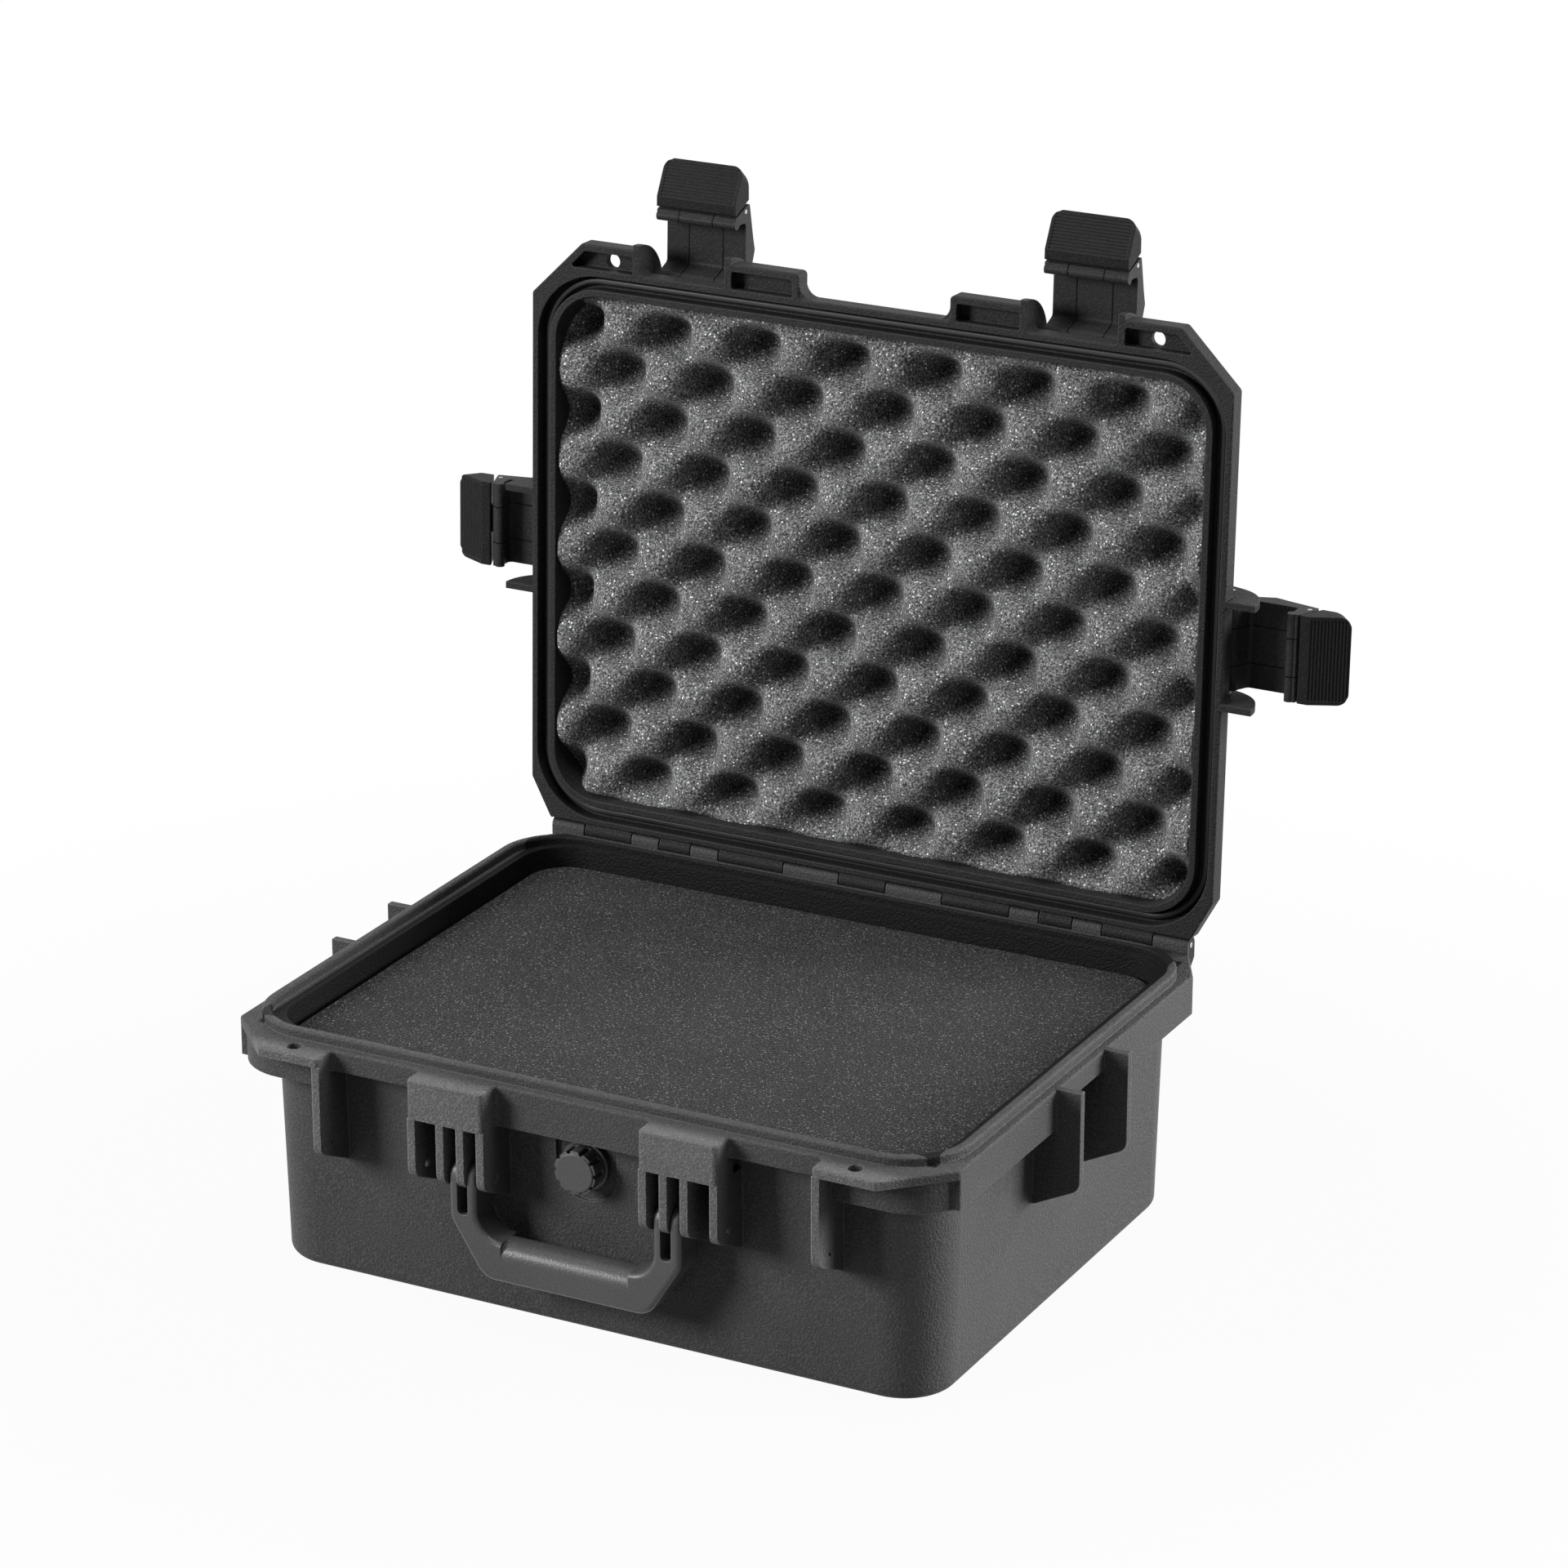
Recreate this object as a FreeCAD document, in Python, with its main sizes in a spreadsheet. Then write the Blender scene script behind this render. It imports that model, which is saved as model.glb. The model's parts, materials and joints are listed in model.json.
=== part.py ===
import FreeCAD, Part
import math
import os
import re
import Sketcher

# Protective carrying case with a hinged lid, four hook latches, a folding handle and foam inside.
# It stands on its underside with the lid and the latches open.  Millimetres, +Z up, front at -Y.
# The origin is the centre of the underside.  Lid pieces are drawn with the lid shut and latch pieces
# hooked to the base, and both are then swung open.
SIZES = {
    # Flange outline, the same for base and lid
    "flange_width": 410.0,
    "flange_front": 159.8,
    "flange_back": 154.3,
    "corner_chamfer": 30.4,
    "back_chamfer_width": 12.0,
    "back_chamfer_depth": 22.5,
    "lug_reach": 13.6,
    "lug_inner": 139.5,
    "bracket_inner": 44.0,
    "bracket_outer": 88.0,
    "outline_radius": 2.5,
    "edge_radius": 1.4,
    # Base flange and skirt
    "parting_height": 131.6,
    "skirt_height": 21.5,
    "skirt_wall": 4.0,
    "flange_thickness": 4.0,
    "lug_thickness": 5.0,
    "lip_height": 11.0,
    "padlock_x": 159.0,
    "padlock_y": 164.1,
    "padlock_radius": 4.0,
    # Base tub
    "tub_width": 380.4,
    "tub_depth": 288.6,
    "tub_flare": 3.2,
    "tub_corner": 28.0,
    "tub_wall": 4.5,
    "tub_floor": 4.5,
    "foot_radius": 5.0,
    # Fins under the brackets and beside the latches
    "fin_thickness": 4.3,
    "fin_setback": 0.6,
    "fin_drop": 52.6,
    "fin_root_drop": 64.6,
    "fin_radius": 7.0,
    "handle_gap": 7.3,
    "guard_hole_radius": 1.3,
    "side_latch_y": -3.8,
    "side_latch_gap": 52.0,
    # Tongue on the base rim, groove and seal in the lid rim
    "tongue_inset": 7.3,
    "tongue_width": 5.0,
    "tongue_height": 5.0,
    "tongue_corner": 33.0,
    "tongue_radius": 1.5,
    "groove_width": 7.5,
    "groove_depth": 8.6,
    "seal_width": 3.8,
    "seal_height": 3.4,
    "seal_gap": 0.1,
    "seal_radius": 1.5,
    # Lid
    "rim_gap": 0.3,
    "rim_radius": 1.0,
    "lid_skirt": 11.0,
    "lid_depth": 46.0,
    "lid_wall": 4.0,
    "lid_wall_inset": 10.5,
    "lid_flare": 4.0,
    "lid_corner": 30.0,
    "lid_top_radius": 7.0,
    "lid_ramp_radius": 8.0,
    "lid_pocket_wall": 3.8,
    "lid_pocket_depth": 7.0,
    "lid_pocket_radius": 1.5,
    "lid_open_angle": 91.9,
    # Ears that carry the latches
    "ear_thickness": 3.7,
    "ear_reach": 16.5,
    "ear_rise": 20.9,
    "ear_root_rise": 29.0,
    "ear_radius": 25.0,
    # Hinge
    "hinge_length": 384.0,
    "hinge_setback": 4.1,
    "hinge_rise": 5.0,
    "hinge_root": 2.0,
    "hinge_pin_radius": 1.5,
    "knuckle_radius": 4.4,
    "knuckle_gap": 0.4,
    "knuckle_play": 0.5,
    "base_web_drop": 12.0,
    "base_web_lip": 3.0,
    "lid_web": 3.0,
    # Handle
    "handle_pin_y": 161.3,
    "handle_pin_z": 81.3,
    "handle_pin_radius": 2.2,
    "handle_width": 132.0,
    "handle_inner": 50.4,
    "handle_bottom": 29.5,
    "handle_grip": 21.5,
    "handle_depth": 19.0,
    "handle_slope_width": 19.0,
    "handle_slope_height": 30.0,
    "handle_outer_round": 12.0,
    "handle_inner_round": 14.0,
    "handle_edge_radius": 3.0,
    "handle_grip_flat": 1.0,
    "handle_slot_inner": 54.9,
    "handle_slot_outer": 61.0,
    "handle_slot_bottom": 62.5,
    "handle_slot_round": 2.6,
    # Pressure valve
    "valve_z": 92.8,
    "valve_pocket_width": 34.6,
    "valve_pocket_bottom": 72.8,
    "valve_pocket_radius": 16.5,
    "valve_shank_radius": 6.0,
    "valve_hole_play": 0.3,
    "valve_flange_radius": 13.0,
    "valve_flange_thickness": 2.4,
    "valve_seal_radius": 9.0,
    "valve_seal_wire": 0.9,
    "valve_spigot_radius": 5.0,
    "valve_spigot_length": 6.0,
    "valve_nut_radius": 10.0,
    "valve_nut_thickness": 2.2,
    "valve_nut_y": 139.4,
    "knob_radius": 11.6,
    "knob_length": 9.6,
    "knob_gap": 0.3,
    "knob_face_radius": 10.4,
    "knob_face_rise": 0.8,
    "knob_notch_radius": 1.3,
    "knob_notch_depth": 8.2,
    # Latch arm: "out" is measured from the flange line, "rise" and "drop" from the parting plane
    "latch_width": 47.4,
    "latch_swing": 90.0,
    "latch_pivot_in": 4.9,
    "latch_pivot_rise": 21.1,
    "latch_pin_radius": 1.6,
    "latch_barrel_radius": 5.2,
    "arm_inner_out": 1.5,
    "arm_neck_rise": 13.0,
    "arm_shoulder_out": 9.0,
    "arm_shoulder_rise": 11.2,
    "arm_crown_out": 12.0,
    "arm_crown_rise": 3.2,
    "arm_waist_out": 10.0,
    "arm_waist_drop": 3.8,
    "arm_end_out": 5.5,
    "arm_end_drop": 23.3,
    "arm_round": 2.5,
    "arm_edge_round": 1.0,
    "hook_in": 10.5,
    "hook_drop": 17.5,
    "hook_notch_drop": 13.6,
    "hook_bar_in": 8.5,
    "hook_bar_drop": 14.1,
    "hook_bar_radius": 2.6,
    # Release pad on the end of the arm
    "release_out": 1.5,
    "release_drop": 19.5,
    "release_pin_radius": 1.2,
    "release_knuckle_radius": 2.6,
    "release_slot_width": 24.0,
    "release_slot_in": 3.0,
    "release_slot_drop": 16.0,
    "release_tongue_width": 15.0,
    "release_tongue_thickness": 3.8,
    "release_spring_radius": 2.2,
    "release_spring_bore": 1.5,
    "release_spring_length": 3.6,
    "pad_lip_in": 10.5,
    "pad_lip_drop": 18.7,
    "pad_heel_drop": 24.8,
    "pad_tip_in": 1.0,
    "pad_tip_drop": 44.0,
    "pad_nose_out": 4.0,
    "pad_nose_drop": 40.0,
    "pad_shoulder_out": 4.5,
    "pad_shoulder_drop": 25.4,
    "pad_round": 0.8,
    "pad_corner_radius": 6.0,
    "pad_ridge_depth": 0.7,
    "pad_ridge_margin": 2.0,
    # Foam
    "foam_gap": 0.8,
    "foam_corner": 22.0,
    "foam_seat_gap": 0.2,
    "foam_pad_thickness": 10.0,
    "foam_upper_thickness": 53.0,
    "foam_top_drop": 10.0,
    "crate_gap": 0.6,
    "crate_pitch_x": 26.75,
    "crate_pitch_y": 25.3,
    "crate_lean": 0.93,
    "crate_shift_right": 2.4,
    "crate_shift_front": 0.9,
    "crate_pit_radius": 16.0,
    "crate_pit_depth": 27.0,
    "crate_pit_taper": 26.0,
    # Running clearance of a pin in its bore, and how far a cutting shape passes the part
    "pin_play": 0.05,
    "overrun": 2.0,
}

# Lengths of the hinge knuckles from left to right; base and lid take turns, the base first.
KNUCKLE_SHARES = (53, 77, 45, 51, 45, 104, 88, 74, 88, 104, 45, 51, 45, 77, 53)
KNOB_NOTCHES = 10
PAD_RIDGES = 12
NUT_SIDES = 6

HALF = "(flange_width / 2)"
REACH = "(flange_front + lug_reach)"
TUB_X = "(tub_width / 2)"
TUB_Y = "(tub_depth / 2)"
RIM = "(parting_height + rim_gap)"
HINGE_Y = "(flange_back + hinge_setback)"
HINGE_Z = "(parting_height + hinge_rise)"
LID_TOP = "(parting_height + lid_depth)"

doc = FreeCAD.newDocument("protective_case")
sheet = doc.addObject("Spreadsheet::Sheet", "sizes")
for row, (size_name, size) in enumerate(SIZES.items(), start=1):
    sheet.set(f"A{row}", size_name)
    sheet.set(f"B{row}", str(size))
    sheet.setAlias(f"B{row}", size_name)
doc.recompute()


def value(formula):
    """Number that a formula of sizes comes to."""
    return float(sheet.evalExpression(formula))


def bound(formula):
    """Formula with every size pointed at the sheet, for binding to a property."""
    return re.sub(r"[a-z][a-z_]+", lambda found: f"sizes.{found.group()}", formula)


def new_body(label):
    body = doc.addObject("PartDesign::Body", label)
    body.Label = label
    return body


def mirrored(corners):
    """Corners of the right half followed by those of the left half."""
    return corners + [(f"-({corner[0]})", *corner[1:]) for corner in reversed(corners)]


def rectangle(left, right, front, back, *radius):
    return [(left, front, *radius), (right, front, *radius), (right, back, *radius), (left, back, *radius)]


def centred(half_x, front, back, *radius):
    return rectangle(f"-({half_x})", half_x, f"-({front})", back, *radius)


def pair(inner, outer, front, back):
    """A rectangle on the right of the middle and its mirror image on the left."""
    return [rectangle(inner, outer, front, back), rectangle(f"-({outer})", f"-({inner})", front, back)]


def flipped(corners):
    return [(f"-({corner[0]})", *corner[1:]) for corner in corners]


class Drawing:
    """Sketch whose corners, radii and centres are all tied to formulas of sizes."""

    def __init__(self, body, plane, offset):
        self.sketch = body.newObject("Sketcher::SketchObject", f"{body.Name}_sketch")
        support = next(item for item in body.Origin.OriginFeatures if item.Role == plane)
        self.sketch.AttachmentSupport = [(support, "")]
        self.sketch.MapMode = "FlatFace"
        self.sketch.setExpression("AttachmentOffset.Base.z", bound(offset))
        self.rules = []
        self.formulas = {}

    def rule(self, *terms):
        self.rules.append(Sketcher.Constraint(*terms))

    def tie(self, formula, *terms):
        self.formulas[len(self.rules)] = bound(formula)
        self.rule(*terms, value(formula))

    def fix(self, item, point, x, y):
        self.tie(x, "DistanceX", -1, 1, item, point)
        self.tie(y, "DistanceY", -1, 1, item, point)

    def loop(self, corners):
        """Closed line through corners given as (x, y) or, where rounded, (x, y, radius)."""
        spots = [FreeCAD.Vector(value(corner[0]), value(corner[1]), 0) for corner in corners]
        count = len(spots)
        arrive = list(spots)
        leave = list(spots)
        arcs = {}
        for index, corner in enumerate(corners):
            if len(corner) == 2:
                continue
            spot = spots[index]
            back = (spots[index - 1] - spot).normalize()
            ahead = (spots[(index + 1) % count] - spot).normalize()
            radius = value(corner[2])
            half_angle = back.getAngle(ahead) / 2
            arrive[index] = spot + back * (radius / math.tan(half_angle))
            leave[index] = spot + ahead * (radius / math.tan(half_angle))
            centre = spot + (back + ahead).normalize() * (radius / math.sin(half_angle))
            arcs[index] = (centre, radius, ahead.cross(back).z > 0)
        first = self.sketch.GeometryCount
        for index in range(count):
            line = Part.LineSegment(leave[index], arrive[(index + 1) % count])
            self.sketch.addGeometry(line, False)
        for index, corner in enumerate(corners):
            before = first + (index - 1) % count
            after = first + index
            if index not in arcs:
                self.rule("Coincident", before, 2, after, 1)
                self.fix(after, 1, corner[0], corner[1])
                continue
            centre, radius, leftward = arcs[index]
            start, end = (arrive[index], leave[index]) if leftward else (leave[index], arrive[index])
            angles = [math.atan2(spot.y - centre.y, spot.x - centre.x) for spot in (start, end)]
            if angles[1] < angles[0]:
                angles[1] += 2 * math.pi
            circle = Part.Circle(centre, FreeCAD.Vector(0, 0, 1), radius)
            arc = self.sketch.addGeometry(Part.ArcOfCircle(circle, *angles), False)
            self.rule("Tangent", before, 2, arc, 1 if leftward else 2)
            self.rule("Tangent", arc, 2 if leftward else 1, after, 1)
            self.tie(corner[2], "Radius", arc)
            point = self.sketch.addGeometry(Part.Point(spots[index]), True)
            self.rule("PointOnObject", point, 1, before)
            self.rule("PointOnObject", point, 1, after)
            self.fix(point, 1, corner[0], corner[1])

    def circle(self, x, y, radius):
        centre = FreeCAD.Vector(value(x), value(y), 0)
        shape = Part.Circle(centre, FreeCAD.Vector(0, 0, 1), value(radius))
        item = self.sketch.addGeometry(shape, False)
        self.fix(item, 3, x, y)
        self.tie(radius, "Radius", item)

    def finish(self):
        self.sketch.addConstraint(self.rules)
        for number, formula in self.formulas.items():
            self.sketch.setExpression(f"Constraints[{number}]", formula)
        return self.sketch


def drawn(body, plane, offset, loops=(), circles=()):
    drawing = Drawing(body, plane, offset)
    for corners in loops:
        drawing.loop(corners)
    for circle in circles:
        drawing.circle(*circle)
    return drawing.finish()


def swept(body, kind, sketch, length, against):
    step = body.newObject(f"PartDesign::{kind}", f"{body.Name}_{kind.lower()}")
    step.Profile = sketch
    step.setExpression("Length", bound(length))
    step.Reversed = against
    step.Refine = False
    return step


def pad(body, plane, offset, length, loops=(), circles=()):
    """Adds material from the drawing along its normal."""
    return swept(body, "Pad", drawn(body, plane, offset, loops, circles), length, False)


def cut(body, plane, offset, length, loops=(), circles=()):
    """Takes material away from the drawing along its normal."""
    return swept(body, "Pocket", drawn(body, plane, offset, loops, circles), length, True)


def loft(body, kind, sections):
    """Straight-sided shape between two outlines, each given with its height."""
    sketches = [drawn(body, "XY_Plane", height, [corners]) for height, corners in sections]
    step = body.newObject(f"PartDesign::{kind}", f"{body.Name}_loft")
    step.Profile = sketches[0]
    step.Sections = sketches[1:]
    step.Ruled = True
    step.Refine = False
    return step


def round_edges(body, radius, chosen):
    doc.recompute()
    base = body.Tip
    names = [f"Edge{number}" for number, edge in enumerate(base.Shape.Edges, start=1) if chosen(edge)]
    step = body.newObject("PartDesign::Fillet", f"{body.Name}_fillet")
    step.Base = (base, names)
    step.setExpression("Radius", bound(radius))
    return step


def same(one, other):
    return math.isclose(one, other, abs_tol=value("pin_play"))


def upright(edge):
    box = edge.BoundBox
    return same(box.XLength, 0) and same(box.YLength, 0)


def level_with(height):
    """Picks the edges that lie in the plane at a height."""
    level = value(height)

    def chosen(edge):
        return same(edge.BoundBox.ZMin, level) and same(edge.BoundBox.ZMax, level)

    return chosen


def flange_outline():
    return mirrored([
        ("bracket_inner", "-flange_front"),
        ("bracket_inner", f"-{REACH}"),
        ("bracket_outer", f"-{REACH}"),
        ("bracket_outer", "-flange_front"),
        ("lug_inner", "-flange_front"),
        ("lug_inner", f"-{REACH}"),
        (f"{HALF} - corner_chamfer", f"-{REACH}"),
        (HALF, f"corner_chamfer - {REACH}"),
        (HALF, "flange_back - back_chamfer_depth"),
        (f"{HALF} - back_chamfer_width", "flange_back"),
    ])


def inset_flange(inset, radius):
    """Rounded rectangle a distance inside the flange line."""
    return centred(f"{HALF} - {inset}", f"flange_front - {inset}", f"flange_back - {inset}", radius)


def rim_ring(width):
    """Inner and outer outline of a ring that runs along the middle of the rim."""
    rings = []
    for side in ("+", "-"):
        inset = f"(tongue_inset {side} {width} / 2)"
        radius = f"tongue_corner - {inset} + tongue_inset"
        rings.append(inset_flange(inset, radius))
    return rings


def knuckle_spans(first):
    """Ends along X of every second hinge knuckle, of the base from 0 or of the lid from 1."""
    total = sum(KNUCKLE_SHARES)
    spans = []
    for index in range(first, len(KNUCKLE_SHARES), 2):
        start = sum(KNUCKLE_SHARES[:index]) / total - 1 / 2
        end = start + KNUCKLE_SHARES[index] / total
        spans.append((f"hinge_length * ({start})", f"hinge_length * ({end})"))
    return spans


def knuckle_gaps(first, front):
    """Plan outlines of the room that the other half's knuckles need."""
    back = f"{HINGE_Y} + knuckle_radius + overrun"
    gaps = []
    for start, end in knuckle_spans(first):
        gaps.append(rectangle(f"{start} - knuckle_gap", f"{end} + knuckle_gap", front, back))
    return gaps


def hinge_barrel(body, web):
    """Barrel over the whole hinge and the web that joins it to its half of the case."""
    start = "-hinge_length / 2"
    pad(body, "YZ_Plane", start, "hinge_length", [web])
    pad(body, "YZ_Plane", start, "hinge_length", circles=[(HINGE_Y, HINGE_Z, "knuckle_radius")])


def hinge_bore(body):
    circle = (HINGE_Y, HINGE_Z, "hinge_pin_radius + pin_play")
    cut(body, "YZ_Plane", "-(hinge_length / 2 + overrun)", "hinge_length + 2 * overrun", circles=[circle])


def fin_underside(root, out):
    """Outline of what is taken off below a fin, from the wall at root to its front face at out."""
    bottom = "parting_height - fin_root_drop"
    front = f"({out} - fin_setback)"
    return [
        (f"{out} + overrun", f"{bottom} - overrun"),
        (root, f"{bottom} - overrun"),
        (root, bottom),
        (front, "parting_height - fin_drop", "fin_radius"),
        (front, "parting_height - fin_drop + 2 * fin_radius"),
        (f"{out} + overrun", "parting_height - fin_drop + 2 * fin_radius"),
    ]


def tub_section(grow, radius):
    """Plan of the tub at its foot, grown on all sides."""
    return centred(f"{TUB_X} + {grow}", f"{TUB_Y} + {grow}", f"{TUB_Y} + {grow}", radius)


def base_shell():
    body = new_body("base_shell")
    under = "parting_height - skirt_height"
    pad(body, "XY_Plane", under, "skirt_height", [flange_outline()])
    round_edges(body, "outline_radius", upright)
    round_edges(body, "edge_radius", level_with("parting_height"))

    # The lugs are plates, the skirt under them has round corners and is hollow, and it is short where
    # the latches hook on.
    lugs = pair("lug_inner", f"{HALF} + overrun", f"-({REACH} + overrun)", f"corner_chamfer - {REACH}")
    cut(body, "XY_Plane", under, "skirt_height - lug_thickness", lugs)
    skirt = inset_flange("0", "tub_corner + skirt_wall")
    pad(body, "XY_Plane", under, "skirt_height - lug_thickness", [skirt])
    hollow = inset_flange("skirt_wall", "tub_corner")
    cut(body, "XY_Plane", under, "skirt_height - flange_thickness", [hollow])
    behind_lip = "-(flange_front - skirt_wall - overrun)"
    lips = pair("bracket_outer", "lug_inner", f"-({REACH} + overrun)", behind_lip)
    lips += pair(f"{HALF} - skirt_wall - overrun", f"{HALF} + overrun", "side_latch_y - side_latch_gap / 2",
                 "side_latch_y + side_latch_gap / 2")
    cut(body, "XY_Plane", under, "skirt_height - lip_height", lips)

    # Tub
    foot = tub_section("0", "tub_corner")
    mouth = tub_section("tub_flare", "tub_corner + tub_flare")
    loft(body, "AdditiveLoft", [("0", foot), ("parting_height", mouth)])
    round_edges(body, "foot_radius", level_with("0"))

    # Fins of the handle brackets, then the guards beside the latches
    bottom = "parting_height - fin_root_drop"
    fin_front = f"-({REACH} - fin_setback)"
    edges = [f"bracket_inner + {turn} * (fin_thickness + handle_gap)" for turn in range(3)]
    edges.append("bracket_outer - fin_thickness")
    fins = []
    for edge in edges:
        fins += pair(edge, f"{edge} + fin_thickness", fin_front, f"-{TUB_Y}")
    pad(body, "XY_Plane", bottom, "fin_root_drop - skirt_height", fins)
    guards = pair("lug_inner", "lug_inner + fin_thickness", fin_front, f"-{TUB_Y}")
    pad(body, "XY_Plane", bottom, "fin_root_drop - lug_thickness", guards)
    side_guards = []
    side_reach = f"{HALF} + lug_reach - fin_setback"
    for side in ("-", "+"):
        near = f"side_latch_y {side} side_latch_gap / 2"
        far = f"{near} {side} fin_thickness"
        front, back = (far, near) if side == "-" else (near, far)
        side_guards += pair(TUB_X, side_reach, front, back)
    pad(body, "XY_Plane", bottom, "fin_root_drop", side_guards)
    front_cut = flipped(fin_underside(f"{TUB_Y} + tub_flare", REACH))
    cut(body, "YZ_Plane", f"-{HALF}", "flange_width", [front_cut])
    side_cut = fin_underside(f"{TUB_X} + tub_flare", f"({HALF} + lug_reach)")
    cut(body, "XZ_Plane", "-flange_back", "flange_back + flange_front", [side_cut, flipped(side_cut)])

    # Tongue on the rim and the hollow of the tub
    pad(body, "XY_Plane", "parting_height", "tongue_height", rim_ring("tongue_width"))
    round_edges(body, "tongue_radius", level_with("parting_height + tongue_height"))
    inner_foot = tub_section("(-tub_wall)", "tub_corner - tub_wall")
    inner_mouth = tub_section("(tub_flare - tub_wall)", "tub_corner + tub_flare - tub_wall")
    loft(body, "SubtractiveLoft", [("tub_floor", inner_foot), ("parting_height + overrun", inner_mouth)])

    # Holes: padlocks, handle pins, guards, valve pocket and valve
    padlocks = [(f"{side}padlock_x", "-padlock_y", "padlock_radius") for side in ("-", "")]
    cut(body, "XY_Plane", "parting_height - lug_thickness - overrun", "lug_thickness + 2 * overrun",
        circles=padlocks)
    handle_pin = ("-handle_pin_y", "handle_pin_z", "handle_pin_radius + pin_play")
    bracket_end = "(bracket_outer + overrun)"
    cut(body, "YZ_Plane", f"-{bracket_end}", f"2 * {bracket_end}", circles=[handle_pin])
    guard_hole = ("-handle_pin_y", "handle_pin_z", "guard_hole_radius")
    cut(body, "YZ_Plane", f"-{HALF}", "flange_width", circles=[guard_hole])
    pocket_x = "(valve_pocket_width / 2)"
    pocket_top = "parting_height - lip_height"
    pocket = [(f"-{pocket_x}", "valve_pocket_bottom", "valve_pocket_radius"),
              (pocket_x, "valve_pocket_bottom", "valve_pocket_radius"),
              (pocket_x, pocket_top),
              (f"-{pocket_x}", pocket_top)]
    cut(body, "XZ_Plane", TUB_Y, "tub_flare + overrun", [pocket])
    valve_hole = ("0", "valve_z", "valve_shank_radius + valve_hole_play")
    cut(body, "XZ_Plane", f"{TUB_Y} - tub_wall - overrun", "tub_wall + 2 * overrun", circles=[valve_hole])

    # Hinge knuckles
    web = [(f"{HINGE_Y} - knuckle_radius", "parting_height - base_web_drop"),
           (f"{HINGE_Y} + knuckle_radius", "parting_height - base_web_lip"),
           (f"{HINGE_Y} + knuckle_radius", HINGE_Z),
           (f"{HINGE_Y} - knuckle_radius", HINGE_Z)]
    hinge_barrel(body, web)
    gaps = knuckle_gaps(1, f"{HINGE_Y} - knuckle_radius - overrun / 2")
    cut(body, "XY_Plane", "parting_height", "hinge_rise + knuckle_radius + overrun", gaps)
    hinge_bore(body)
    return body


def ear_outline(line):
    """Side view of a latch ear on the lid, out from the flange line at the given distance."""
    inside = f"{line} - lid_wall_inset - lid_wall"
    return [(inside, RIM),
            (f"{line} + ear_reach", RIM),
            (f"{line} + ear_reach", "parting_height + ear_rise", "ear_radius"),
            (inside, "parting_height + ear_root_rise")]


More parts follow.
